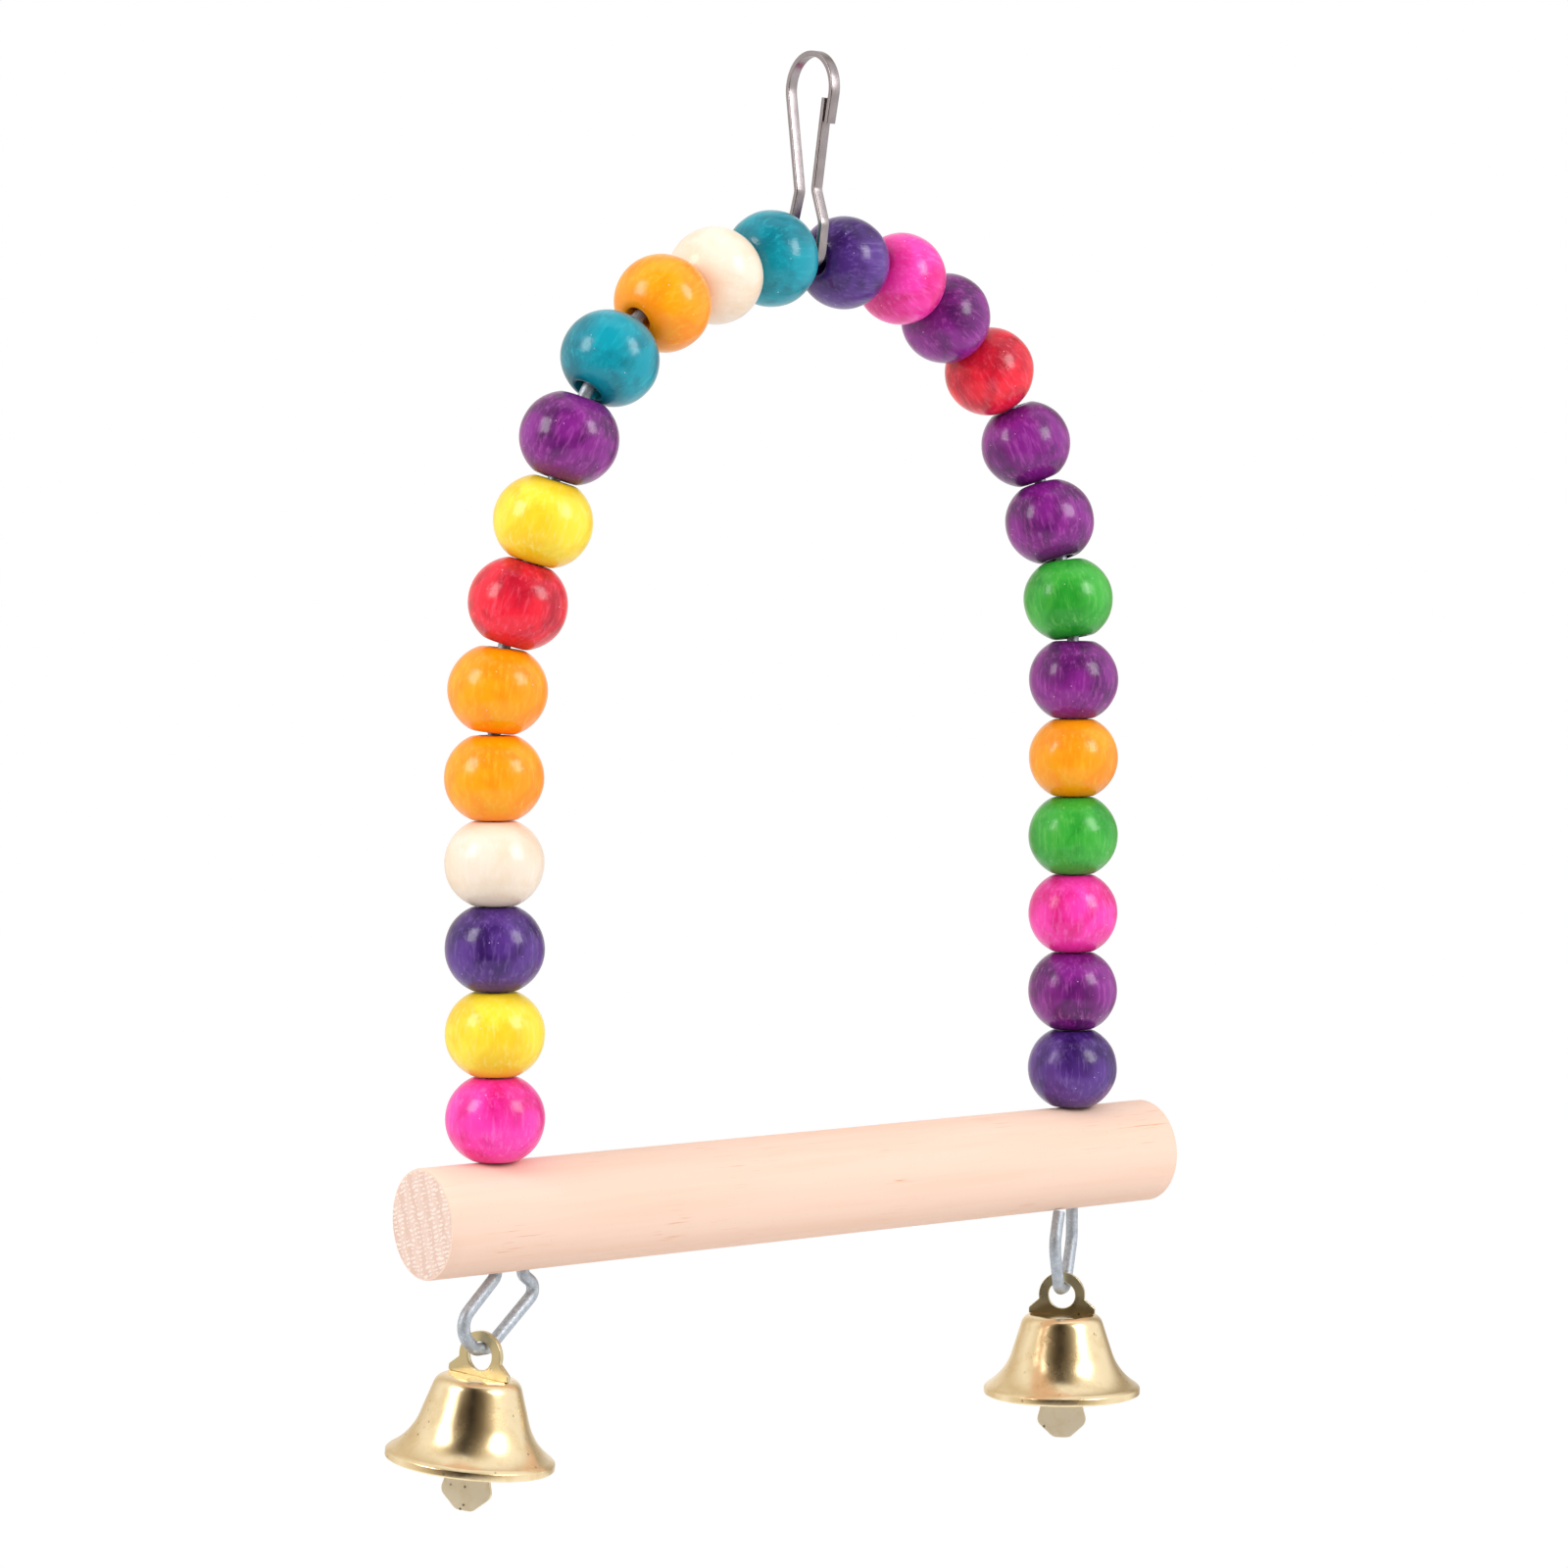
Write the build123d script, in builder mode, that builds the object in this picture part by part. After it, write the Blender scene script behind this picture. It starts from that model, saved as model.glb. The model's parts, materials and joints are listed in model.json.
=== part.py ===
from build123d import *

import os
from math import acos, atan2, cos, degrees, radians, sin, sqrt, tan

# A hanging bird swing: a dowel perch on a bent wire arch threaded with wooden beads, a bent strip clip at
# the top and a brass bell under each end of the perch. Sizes are in millimetres.
# The origin is the middle of the clip's top bend, where a cage bar lies. +X runs along the perch, +Z is up,
# and the open end of the clip's hook is on the -Y side.

# Arch wire
wire_diameter = 1.6
leg_spacing = 93.4
crown_off_middle = 1.7
arch_twist = 8.0
# Bends of each half of the arch, from the clip outwards: sideways place, drop below the crown, bend radius.
# The crown is turned by the twist from the plane of the legs, and the shoulders lie back from it or forward.
left_crown_reach = 9.9
left_crown_bend = 28.9
left_shoulder_inset = 10.2
left_shoulder_drop = 10.5
left_shoulder_back = -8.5
left_shoulder_bend = 27.1
left_spring_drop = 53.1
left_spring_bend = 53.9
right_crown_reach = 15.4
right_crown_bend = 28.6
right_shoulder_inset = 3.8
right_shoulder_drop = 14.2
right_shoulder_back = 8.7
right_shoulder_bend = 26.4
right_spring_drop = 45.0
right_spring_bend = 53.9
# Hanging eyes under the perch: out along the eye, below the perch, bend radius, and the free end
left_eye_turn = 8.0
left_eye = (
    (0.0, 0.5, 1.4),
    (-6.5, 6.1, 2.6),
    (-3.4, 9.15, 1.3),
    (-1.2, 9.15, 1.3),
    (7.0, 2.65, 1.4),
    (4.5, 0.75, 0.9),
)
left_eye_end = (4.5, 0.12)
left_eye_seat = (2, 3)
right_eye_turn = 30.0
right_eye = ((0.0, 4.2, 5.0), (-2.7, 10.4, 1.2), (-5.2, 10.4, 1.2), (-7.0, 4.2, 4.0))
right_eye_end = (-5.2, -0.08)
right_eye_seat = (1, 2)

# Beads
beads_per_side = 13
bead_diameter = 12.0
bead_height = 10.38
bead_flat = 5.3
bead_bore = 3.7
bead_end_round = 1.6
bead_gap = 0.1
bead_wire_gap = 0.25

# Perch
perch_diameter = 13.7
left_overhang = 10.7
right_overhang = 13.0
perch_edge = 0.25
perch_hole_clearance = 0.15

# Clip
strip_width = 1.4
strip_thickness = 0.7
hang_bend_radius = 4.15
hook_lean = 14.0
hook_length = 3.6
hook_off_plumb = 0.95
clip_drop = 20.9
waist_rise = 8.1
waist_half = 1.75
flare_rise = 3.9
flare_half = 3.25
foot_half = 2.4
waist_bend = 1.6
flare_bend = 1.8
foot_bend = 1.8
gate_tip_drop = 1.35
gate_tip_half = 4.0
clip_side_gap = 0.65
wire_seat_gap = 0.1
gate_split = 0.04

# Bells
plate_turn = 13.0
left_bell_lean = 5.0
left_bell_tilt = 4.0
right_bell_lean = 0.0
right_bell_tilt = 0.0
plate_thickness = 0.7
eye_diameter = 6.2
eye_hole = 3.6
eye_height = 2.5
shoulder_width = 8.9
shoulder_edge = 0.9
shoulder_rise = 2.1
shoulder_top = 5.8
shoulder_round = 0.45
tang_width = 3.4
stake_width = 4.6
stake_height = 0.6
window_width = 2.3
window_height = 1.7
window_drop = 0.5
bridge_height = 0.7
slot_clearance = 0.1
bell_wall = 0.6
crown_diameter = 10.2
crown_round = 1.7
waist_diameter = 13.5
bell_waist_drop = 5.2
lip_diameter = 21.0
lip_height = 0.9
bell_height = 10.8
flare_step = 0.35

# Clappers
clapper_thickness = 0.6
clapper_eye_clearance = 0.3
clapper_stem = 1.5
clapper_eye_gap = 0.5
paddle_top_width = 4.7
paddle_width = 6.8
paddle_below_lip = 3.9
clapper_below_lip = 6.0
paddle_foot_width = 2.2
paddle_neck_rise = 2.2
paddle_round = 1.2
left_clapper_turn = 15.0
right_clapper_turn = 0.0

# Places that follow from the sizes
wire_radius = wire_diameter / 2
perch_radius = perch_diameter / 2
bead_radius = bead_diameter / 2
bead_belly = ((bead_radius - bead_flat / 2) ** 2 + (bead_height / 2) ** 2) / (bead_diameter - bead_flat)
flat_radius = (
    bead_radius
    - bead_belly
    + sqrt((bead_belly - bead_end_round) ** 2 - (bead_height / 2 - bead_end_round) ** 2)
)
bead_hang = (bead_bore - wire_diameter) / 2 - bead_wire_gap
stack_passes = 4
arch_y = hook_off_plumb
crown_z = -clip_drop
left_leg_x = -leg_spacing / 2 - crown_off_middle
right_leg_x = leg_spacing / 2 - crown_off_middle
up = Vector(0, 0, 1)


def arch_corners(leg_x, crown_reach, inset, shoulder_drop, shoulder_back, spring_drop):
    """Corner points of one half of the arch, from the clip down to the leg."""
    side = 1 if leg_x > 0 else -1
    crown = Vector(side * crown_reach, 0, crown_z).rotate(Axis.Z, arch_twist)
    shoulder = Vector(leg_x - side * inset, shoulder_back, crown_z - shoulder_drop)
    spring = Vector(leg_x, 0, crown_z - spring_drop)
    return [corner + Vector(0, arch_y, 0) for corner in (crown, shoulder, spring)]


left_corners = arch_corners(
    left_leg_x,
    left_crown_reach,
    left_shoulder_inset,
    left_shoulder_drop,
    left_shoulder_back,
    left_spring_drop,
)
right_corners = arch_corners(
    right_leg_x,
    right_crown_reach,
    right_shoulder_inset,
    right_shoulder_drop,
    right_shoulder_back,
    right_spring_drop,
)
left_bends = [left_crown_bend, left_shoulder_bend, left_spring_bend]
right_bends = [right_crown_bend, right_shoulder_bend, right_spring_bend]


def half_arch(leg_x, corners, bends):
    """Centre line of the wire from the clip down one leg, longer than its beads need."""
    leg_end = crown_z - 2 * beads_per_side * bead_height
    with BuildLine() as half:
        FilletPolyline((0, arch_y, crown_z), *corners, (leg_x, arch_y, leg_end), radius=bends)
    return half.wire()


left_half = half_arch(left_leg_x, left_corners, left_bends)
right_half = half_arch(right_leg_x, right_corners, right_bends)


def direction(line, reach):
    """Direction of a line at a distance along it."""
    return line.tangent_at(reach, position_mode=PositionMode.LENGTH)


def bead_centre(line, reach):
    """Middle of a bead at a distance along the wire; where the wire is not upright the bead hangs from it."""
    bore = direction(line, reach)
    on_wire = line.position_at(reach, position_mode=PositionMode.LENGTH)
    return on_wire - (up - bore * up.dot(bore)) * bead_hang


def end_gap(line, first, second):
    """Gap between the ends of two neighbouring beads, at the inside of the bend between them."""
    half_turn = radians(direction(line, first).get_angle(direction(line, second))) / 2
    way = (direction(line, first) + direction(line, second)).normalized()
    apart = (bead_centre(line, second) - bead_centre(line, first)).dot(way)
    straight = (bead_height - 2 * bead_end_round) * cos(half_turn)
    return apart - straight - 2 * flat_radius * sin(half_turn) - 2 * bead_end_round


def stack_beads(line, slack):
    """Distances along the wire of one side's beads, from the clip down to the perch."""
    beside_clip = strip_width / 2 + clip_side_gap + slack + bead_height / 2
    reach = beside_clip
    for _ in range(stack_passes):
        half_turn = radians(direction(line, 0).get_angle(direction(line, reach))) / 2
        reach = beside_clip + 2 * (flat_radius + bead_hang) * tan(half_turn)
    places = [reach]
    while len(places) < beads_per_side:
        reach = places[-1] + bead_height + bead_gap
        for _ in range(stack_passes):
            reach += bead_gap - end_gap(line, places[-1], reach)
        places.append(reach)
    return places


def stack_foot(line, places):
    """Height of the perch's top under a side's lowest bead."""
    return bead_centre(line, places[-1]).Z - bead_height / 2 - bead_gap


# The fuller side sets the perch's height; the other side's beads drop to the perch by the same amount
tight_feet = [stack_foot(line, stack_beads(line, 0)) for line in (left_half, right_half)]
left_places = stack_beads(left_half, tight_feet[0] - min(tight_feet))
right_places = stack_beads(right_half, tight_feet[1] - min(tight_feet))
perch_top = min(stack_foot(left_half, left_places), stack_foot(right_half, right_places))
perch_z = perch_top - perch_radius
perch_foot = perch_z - perch_radius


def eye_point(leg_x, turn, out, below):
    """A point of a hanging eye, in its upright plane through the leg."""
    return (
        leg_x + out * cos(radians(turn)),
        arch_y + out * sin(radians(turn)),
        perch_foot - below,
    )


def eye_corners(leg_x, turn, corners):
    """Corner points of a hanging eye, from the perch to the free end."""
    return [eye_point(leg_x, turn, out, below) for out, below, _ in corners]


def eye_bends(corners):
    """Bend radii of a hanging eye, from the perch to the free end."""
    return [bend for _, _, bend in corners]


with BuildLine() as wire_route:
    FilletPolyline(
        eye_point(left_leg_x, left_eye_turn, *left_eye_end),
        *reversed(eye_corners(left_leg_x, left_eye_turn, left_eye)),
        *reversed(left_corners),
        *right_corners,
        *eye_corners(right_leg_x, right_eye_turn, right_eye),
        eye_point(right_leg_x, right_eye_turn, *right_eye_end),
        radius=[
            *reversed(eye_bends(left_eye)),
            *reversed(left_bends),
            *right_bends,
            *eye_bends(right_eye),
        ],
    )

with BuildPart() as arch_wire:
    with BuildSketch(Plane(origin=wire_route.line @ 0, z_dir=wire_route.line % 0)):
        Circle(wire_radius)
    sweep(path=wire_route.wire())

with BuildPart() as perch:
    with BuildSketch(Plane.YZ.offset(left_leg_x - left_overhang)):
        with Locations((arch_y, perch_z)):
            Circle(perch_radius)
    extrude(amount=left_overhang + leg_spacing + right_overhang)
    chamfer(perch.edges().filter_by(GeomType.CIRCLE), perch_edge)
    with BuildSketch(Plane.XY.offset(perch_z)):
        with Locations((left_leg_x, arch_y), (right_leg_x, arch_y)):
            Circle(wire_radius + perch_hole_clearance)
    extrude(amount=perch_diameter, both=True, mode=Mode.SUBTRACT)


def make_bead(line, reach):
    """A round wooden bead with flat ends, square on the wire at a distance along it."""
    centre = bead_centre(line, reach)
    bore = direction(line, reach)
    across = Vector(0, 1, 0).cross(bore)
    flat_edge = bead_flat / 2
    with BuildPart() as bead:
        with BuildSketch(Plane(origin=centre, x_dir=across, z_dir=across.cross(bore))):
            with BuildLine():
                Polyline(
                    (flat_edge, bead_height / 2),
                    (bead_bore / 2, bead_height / 2),
                    (bead_bore / 2, -bead_height / 2),
                    (flat_edge, -bead_height / 2),
                )
                ThreePointArc((flat_edge, -bead_height / 2), (bead_radius, 0), (flat_edge, bead_height / 2))
            profile = make_face()
            fillet(profile.vertices().group_by(Axis.X)[-1], bead_end_round)
        revolve(axis=Axis(centre, bore))
    return bead.part


# Clip: one bent strip, drawn in its own upright plane with its first axis towards the hook's open side
clip_plane = Plane(origin=(0, 0, 0), x_dir=(0, -1, 0), z_dir=(-1, 0, 0))
bend_middle = hang_bend_radius + strip_thickness / 2
foot_z = crown_z - wire_radius - wire_seat_gap - strip_thickness / 2


def clip_point(off_plumb, height):
    """A point of the strip, given from the plumb line through the wire."""
    return (off_plumb - hook_off_plumb, height)


back_waist = clip_point(-waist_half, crown_z + waist_rise)
gate_waist = clip_point(waist_half, crown_z + waist_rise)
waist_bearing = degrees(atan2(back_waist[1], back_waist[0])) % 360
leave_angle = waist_bearing - degrees(acos(bend_middle / sqrt(back_waist[0] ** 2 + back_waist[1] ** 2)))

with BuildPart() as clip_hook:
    with BuildSketch(clip_plane):
        with BuildLine():
            hang_bend = CenterArc((0, 0), bend_middle, -hook_lean, leave_angle + hook_lean)
            PolarLine(hang_bend @ 0, hook_length, -90 - hook_lean)
            FilletPolyline(
                hang_bend @ 1,
                back_waist,
                clip_point(-flare_half, crown_z + flare_rise),
                clip_point(-foot_half, foot_z),
                clip_point(0, foot_z),
                radius=[waist_bend, flare_bend, foot_bend],
            )
        trace(line_width=strip_thickness)
    extrude(amount=strip_width / 2, both=True)

with BuildPart() as clip_gate:
    with BuildSketch(clip_plane):
        with BuildLine():
            FilletPolyline(
                clip_point(gate_split, foot_z),
                clip_point(foot_half, foot_z),
                clip_point(flare_half, crown_z + flare_rise),
                gate_waist,
                clip_point(gate_tip_half, -gate_tip_drop),
                radius=[foot_bend, flare_bend, waist_bend],
            )
        trace(line_width=strip_thickness)
    extrude(amount=strip_width / 2, both=True)

# Heights on a bell, from the middle of the wire that it hangs on
eye_middle = -(eye_hole / 2 - wire_radius - wire_seat_gap)
crown_top = eye_middle - eye_height
crown_under = crown_top - bell_wall
window_top = crown_under - window_drop
bridge_top = window_top - window_height
bridge_middle = bridge_top - bridge_height / 2
tang_foot = bridge_top - bridge_height
lip_foot = crown_top - bell_height


def bell_plane(leg_x, turn, corners, seat, lean, tilt):
    """The plane of a bell's hanger plate, from the middle of the eye's bottom run."""
    out = sum(corners[index][0] for index in seat) / len(seat)
    below = corners[seat[0]][1]
    seat_point = Vector(*eye_point(leg_x, turn, out, below))
    swing_axis = Axis((0, 0, 0), Vector(1, 0, 0).rotate(Axis.Z, turn))
    tilt_axis = Axis((0, 0, 0), Vector(0, 1, 0).rotate(Axis.Z, turn))
    facing = Vector(1, 0, 0).rotate(Axis.Z, turn + plate_turn)
    across = Vector(0, 1, 0).rotate(Axis.Z, turn + plate_turn)
    return Plane(
        origin=seat_point,
        x_dir=across.rotate(swing_axis, lean).rotate(tilt_axis, tilt),
        z_dir=facing.rotate(swing_axis, lean).rotate(tilt_axis, tilt),
    )


def make_bell_shell(plate):
    """The thin turned shell of a bell, with a slot in its crown for the hanger."""
    with BuildPart() as shell:
        with BuildSketch(plate):
            with BuildLine():
                top = FilletPolyline(
                    (0, crown_top),
                    (crown_diameter / 2, crown_top),
                    (waist_diameter / 2, crown_top - bell_waist_drop),
                    radius=[crown_round],
                )
                flare_end = (lip_diameter / 2 - flare_step, lip_foot + lip_height + flare_step)
                TangentArc(top @ 1, flare_end, tangent=top % 1)
                Polyline(
                    flare_end,
                    (lip_diameter / 2, lip_foot + lip_height),
                    (lip_diameter / 2, lip_foot),
                )
                offset(amount=bell_wall, side=Side.RIGHT)
            make_face()
        revolve(axis=Axis(plate.origin, plate.y_dir))
        crown_middle = plate.from_local_coords((0, crown_top))
        with BuildSketch(Plane(origin=crown_middle, x_dir=plate.x_dir, z_dir=plate.y_dir)):
            Rectangle(tang_width + 2 * slot_clearance, plate_thickness + 2 * slot_clearance)
        extrude(amount=2 * bell_wall, both=True, mode=Mode.SUBTRACT)
    return shell.part


def make_hanger(plate):
    """The flat hanger plate: eye, shoulders on the crown, staked tang and the window for the clapper."""
    with BuildPart() as hanger:
        with BuildSketch(plate):
            with BuildLine():
                Polyline(
                    (-shoulder_width / 2, crown_top),
                    (-shoulder_width / 2, crown_top + shoulder_edge),
                    (-shoulder_top / 2, crown_top + shoulder_rise),
                    (shoulder_top / 2, crown_top + shoulder_rise),
                    (shoulder_width / 2, crown_top + shoulder_edge),
                    (shoulder_width / 2, crown_top),
                    close=True,
                )
            shoulders = make_face()
            fillet(shoulders.vertices().group_by(Axis.Y)[1], shoulder_round)
            with Locations((0, eye_middle)):
                Circle(eye_diameter / 2)
                Circle(eye_hole / 2, mode=Mode.SUBTRACT)
            with Locations((0, tang_foot)):
                Rectangle(tang_width, crown_top - tang_foot, align=(Align.CENTER, Align.MIN))
            with Locations((0, crown_under - wire_seat_gap)):
                Rectangle(stake_width, stake_height, align=(Align.CENTER, Align.MAX))
            with Locations((0, bridge_top)):
                Rectangle(
                    window_width, window_height, align=(Align.CENTER, Align.MIN), mode=Mode.SUBTRACT
                )
        extrude(amount=plate_thickness / 2, both=True)
    return hanger.part


def make_clapper(plate, turn):
    """The flat clapper: a rolled eye round the tang's bridge, a stem and a paddle below the lip."""
    bell_axis = Axis((0, 0, 0), plate.y_dir)
    hung = Plane(
        origin=plate.origin,
        x_dir=plate.x_dir.rotate(bell_axis, turn),
        z_dir=plate.z_dir.rotate(bell_axis, turn),
    )
    pivot = hung.from_local_coords((0, bridge_middle))
    eye_inner = sqrt((plate_thickness / 2) ** 2 + (bridge_height / 2) ** 2) + clapper_eye_clearance
    eye_outer = eye_inner + clapper_thickness
    neck = lip_foot + paddle_neck_rise
    with BuildPart() as clapper:
        with BuildSketch(Plane(origin=pivot, x_dir=hung.z_dir, z_dir=-hung.x_dir)):
            Circle(eye_outer)
            Circle(eye_inner, mode=Mode.SUBTRACT)
            with Locations((-clapper_thickness / 2, 0)):
                Rectangle(
                    clapper_eye_gap, eye_outer, align=(Align.MAX, Align.MAX), mode=Mode.SUBTRACT
                )
        extrude(amount=clapper_stem / 2, both=True)
        with BuildSketch(hung):
            with BuildLine():
                Polyline(
                    (-clapper_stem / 2, neck),
                    (-paddle_top_width / 2, lip_foot),
                    (-paddle_width / 2, lip_foot - paddle_below_lip),
                    (-paddle_foot_width / 2, lip_foot - clapper_below_lip),
                    (paddle_foot_width / 2, lip_foot - clapper_below_lip),
                    (paddle_width / 2, lip_foot - paddle_below_lip),
                    (paddle_top_width / 2, lip_foot),
                    (clapper_stem / 2, neck),
                    close=True,
                )
            paddle = make_face()
            fillet(paddle.vertices().group_by(Axis.Y)[0:2], paddle_round)
            with Locations((0, neck)):
                Rectangle(
                    clapper_stem,
                    bridge_middle - eye_inner - clapper_thickness / 2 - neck,
                    align=(Align.CENTER, Align.MIN),
                )
        extrude(amount=clapper_thickness / 2, both=True)
    return clapper.part


left_plate = bell_plane(
    left_leg_x, left_eye_turn, left_eye, left_eye_seat, left_bell_lean, left_bell_tilt
)
right_plate = bell_plane(
    right_leg_x, right_eye_turn, right_eye, right_eye_seat, right_bell_lean, right_bell_tilt
)

pieces = {
    "perch": perch.part,
    "arch_wire": arch_wire.part,
    "clip_hook": clip_hook.part,
    "clip_gate": clip_gate.part,
}
for side, line, places in (("left", left_half, left_places), ("right", right_half, right_places)):
    for number, reach in enumerate(reversed(places), start=1):
        pieces[f"bead_{side}_{number:02d}"] = make_bead(line, reach)
bells = (("left", left_plate, left_clapper_turn), ("right", right_plate, right_clapper_turn))
for side, plate, clapper_turn in bells:
    pieces[f"bell_shell_{side}"] = make_bell_shell(plate)
    pieces[f"bell_hanger_{side}"] = make_hanger(plate)
    pieces[f"clapper_{side}"] = make_clapper(plate, clapper_turn)

os.makedirs("parts", exist_ok=True)
for name, piece in pieces.items():
    piece.label = name
    export_step(piece, f"parts/{name}.step")

print(f"perch axis {perch_z:.2f}, wire length {wire_route.wire().length:.1f}")
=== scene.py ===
"""Looks of a hanging bird swing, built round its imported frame.

Sizes of pieces and patterns are in millimetres, points and the studio in metres, angles in degrees.
"""

import json
import logging
import math
from dataclasses import dataclass
from enum import Enum
from typing import Any, Sequence

import bpy
from mathutils import Matrix, Vector, noise


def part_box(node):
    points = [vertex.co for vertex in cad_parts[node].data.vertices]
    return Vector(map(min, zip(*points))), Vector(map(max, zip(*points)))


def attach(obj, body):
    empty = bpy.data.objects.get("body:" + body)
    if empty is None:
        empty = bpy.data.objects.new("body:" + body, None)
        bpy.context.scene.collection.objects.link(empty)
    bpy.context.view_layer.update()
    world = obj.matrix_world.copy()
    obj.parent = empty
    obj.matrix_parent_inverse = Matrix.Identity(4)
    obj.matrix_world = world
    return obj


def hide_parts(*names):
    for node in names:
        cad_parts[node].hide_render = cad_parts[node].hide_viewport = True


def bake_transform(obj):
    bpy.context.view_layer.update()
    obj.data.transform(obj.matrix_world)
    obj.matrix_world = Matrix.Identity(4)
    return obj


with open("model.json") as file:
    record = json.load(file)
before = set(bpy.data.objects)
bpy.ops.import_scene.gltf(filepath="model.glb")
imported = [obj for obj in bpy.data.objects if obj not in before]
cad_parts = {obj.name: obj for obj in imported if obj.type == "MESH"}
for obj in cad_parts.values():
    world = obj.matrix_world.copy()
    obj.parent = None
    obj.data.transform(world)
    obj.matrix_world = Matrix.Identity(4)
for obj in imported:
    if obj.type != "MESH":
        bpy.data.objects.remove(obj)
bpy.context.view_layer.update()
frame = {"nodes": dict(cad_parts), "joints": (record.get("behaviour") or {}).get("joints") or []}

LOG = logging.getLogger("bird_swing")
MM = 0.001
BEAD_HEIGHT = 10.38
# A wave texture of scale 1 repeats every tau / 20.
WAVE_REPEAT = math.tau / 20.0
# Keeps the lumps of one piece apart from those of the next.
LUMP_STRIDE = Vector((7.31, 3.77, 5.13))

Point2 = tuple[float, float]
Inputs = dict[str | int, Any]
Tree = bpy.types.NodeTree
Socket = bpy.types.NodeSocket
Material = bpy.types.Material
Mesh = bpy.types.Mesh
Piece = bpy.types.Object


def linear(hex_colour: str) -> tuple[float, float, float, float]:
    """Turns an sRGB hex colour to linear light.

    Args:
        hex_colour: six hex digits after a hash sign.

    Returns:
        Red, green, blue and a full alpha.
    """
    shares = [int(hex_colour[i : i + 2], 16) / 255 for i in (1, 3, 5)]
    red, green, blue = (s / 12.92 if s <= 0.04045 else ((s + 0.055) / 1.055) ** 2.4 for s in shares)
    return red, green, blue, 1.0


def per_metre(size_mm: float) -> float:
    """Texture scale whose features are about this many millimetres across."""
    return 1.0 / (size_mm * MM)


def add_node(tree: Tree, kind: str, inputs: Inputs | None = None, **settings: Any) -> bpy.types.Node:
    """Adds one node with its settings, input values and links.

    Args:
        tree: the node tree that gets it.
        kind: Blender's type name of the node.
        inputs: input name or number to a value, or to an output socket that feeds it.
        settings: fields of the node itself.

    Returns:
        The new node.
    """
    node = tree.nodes.new(kind)
    for field, value in settings.items():
        setattr(node, field, value)
    for key, value in (inputs or {}).items():
        if isinstance(value, Socket):
            tree.links.new(value, node.inputs[key])
        else:
            node.inputs[key].default_value = value
    return node


def empty_material(name: str) -> tuple[Material, Tree]:
    """Makes a node material with nothing in it.

    Args:
        name: the material's name.

    Returns:
        The material and its node tree.
    """
    material = bpy.data.materials.new(name)
    material.use_nodes = True
    material.node_tree.nodes.clear()
    return material, material.node_tree


def start_finish(name: str) -> tuple[Material, Tree, Socket]:
    """Starts a material whose patterns lie in the piece's own space.

    Args:
        name: the material's name.

    Returns:
        The material, its node tree and the place of each point.
    """
    material, tree = empty_material(name)
    return material, tree, add_node(tree, "ShaderNodeTexCoord").outputs["Object"]


class Texture(Enum):
    """Patterns: Blender's node for each, and the output that carries it."""

    CLOUDS = ("ShaderNodeTexNoise", "Fac")
    SPOTS = ("ShaderNodeTexVoronoi", "Distance")


def pattern(tree: Tree, texture: Texture, place: Socket, size_mm: float, **more: float) -> Socket:
    """Adds a pattern at its real size.

    Args:
        tree: the material's node tree.
        texture: which pattern.
        place: the place of each point.
        size_mm: about how large its features are.
        more: the texture's other inputs.

    Returns:
        The pattern's value.
    """
    kind, output = texture.value
    inputs = {name.capitalize(): value for name, value in more.items()}
    return add_node(tree, kind, {"Vector": place, "Scale": per_metre(size_mm), **inputs}).outputs[output]


def show(tree: Tree, shader: bpy.types.Node) -> None:
    """Sends a shader to the material's output."""
    add_node(tree, "ShaderNodeOutputMaterial", {"Surface": shader.outputs[0]})


def end_finish(
    tree: Tree,
    surface: Inputs,
    relief: Socket,
    strength: float,
    depth_mm: float,
    pressed: Sequence[str] = ("Normal",),
) -> None:
    """Ends a material: presses a relief into its surface and sends that to the output.

    Args:
        tree: the material's node tree.
        surface: inputs of the surface.
        relief: height of the relief.
        strength: how much of the relief the light shows.
        depth_mm: the relief's depth.
        pressed: which normals of the surface carry it.
    """
    press = {"Strength": strength, "Distance": depth_mm * MM, "Height": relief}
    bump = add_node(tree, "ShaderNodeBump", press)
    normals = {normal: bump.outputs[0] for normal in pressed}
    show(tree, add_node(tree, "ShaderNodeBsdfPrincipled", {**surface, **normals}))


@dataclass(frozen=True)
class Layer:
    """A colour that shows along a span of a pattern's values; with patches, only where those set in too."""

    colour: str
    pattern: Socket
    span: Point2
    shares: Point2 = (0.0, 1.0)
    patches: Socket | None = None
    patch_span: Point2 = (0.0, 1.0)

    def lay(self, tree: Tree, under: Socket | Sequence[float]) -> Socket:
        """Lays the colour over another.

        Args:
            tree: the material's node tree.
            under: the colour below it.

        Returns:
            The two colours together.
        """
        # Map Range's inputs are a value, its own span and the span that it becomes, in this order.
        spread = (self.pattern, *self.span, *self.shares)
        share = add_node(tree, "ShaderNodeMapRange", dict(enumerate(spread))).outputs[0]
        if self.patches is not None:
            spread = (self.patches, *self.patch_span)
            patches = add_node(tree, "ShaderNodeMapRange", dict(enumerate(spread))).outputs[0]
            share = add_node(tree, "ShaderNodeMath", {0: share, 1: patches}, operation="MULTIPLY").outputs[0]
        # A colour mix takes its two colours at inputs 6 and 7.
        mix = {0: share, 6: under, 7: linear(self.colour)}
        return add_node(tree, "ShaderNodeMix", mix, data_type="RGBA").outputs[2]


def layered(tree: Tree, ground: str, layers: Sequence[Layer]) -> Socket:
    """Lays colours one over another.

    Args:
        tree: the material's node tree.
        ground: the lowest colour.
        layers: the colours over it, from below.

    Returns:
        The colour of the whole.
    """
    colour = linear(ground)
    for layer in layers:
        colour = layer.lay(tree, colour)
    return colour


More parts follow.
